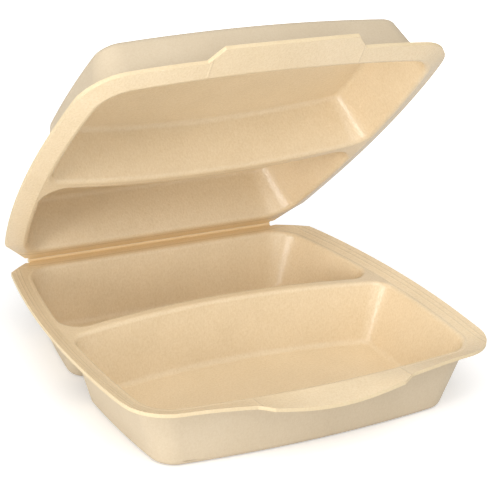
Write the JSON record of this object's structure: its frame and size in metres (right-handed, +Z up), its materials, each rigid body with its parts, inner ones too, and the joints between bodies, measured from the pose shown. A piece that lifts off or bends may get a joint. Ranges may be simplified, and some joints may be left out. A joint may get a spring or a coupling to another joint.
{
  "type": "foam clamshell container",
  "caption": "Hinged-lid foam takeaway container with divided compartments, flared rim, opening tab and pressed fold line, stored with the lid part open.",
  "frame": {"origin": "centre of the larger foot's underside, on the surface the container stands on", "axes": "+Z up, +X to the container's right as seen from its opening side, +Y towards the fold line at the back"},
  "size_m": [0.2402, 0.2356, 0.2156],
  "materials": {
    "foam": "satin foam with a fine mottle"
  },
  "bodies": {
    "base": {"base_tray": "foam"},
    "lid": {"lid": "foam"}
  },
  "joints": [
    {"name": "lid_hinge", "type": "hinge", "parent": "base", "child": "lid", "pos_m": [0, 0.14944, 0.03965], "axis": [1, 0, 0], "range_deg": [-131, 49]}
  ]
}
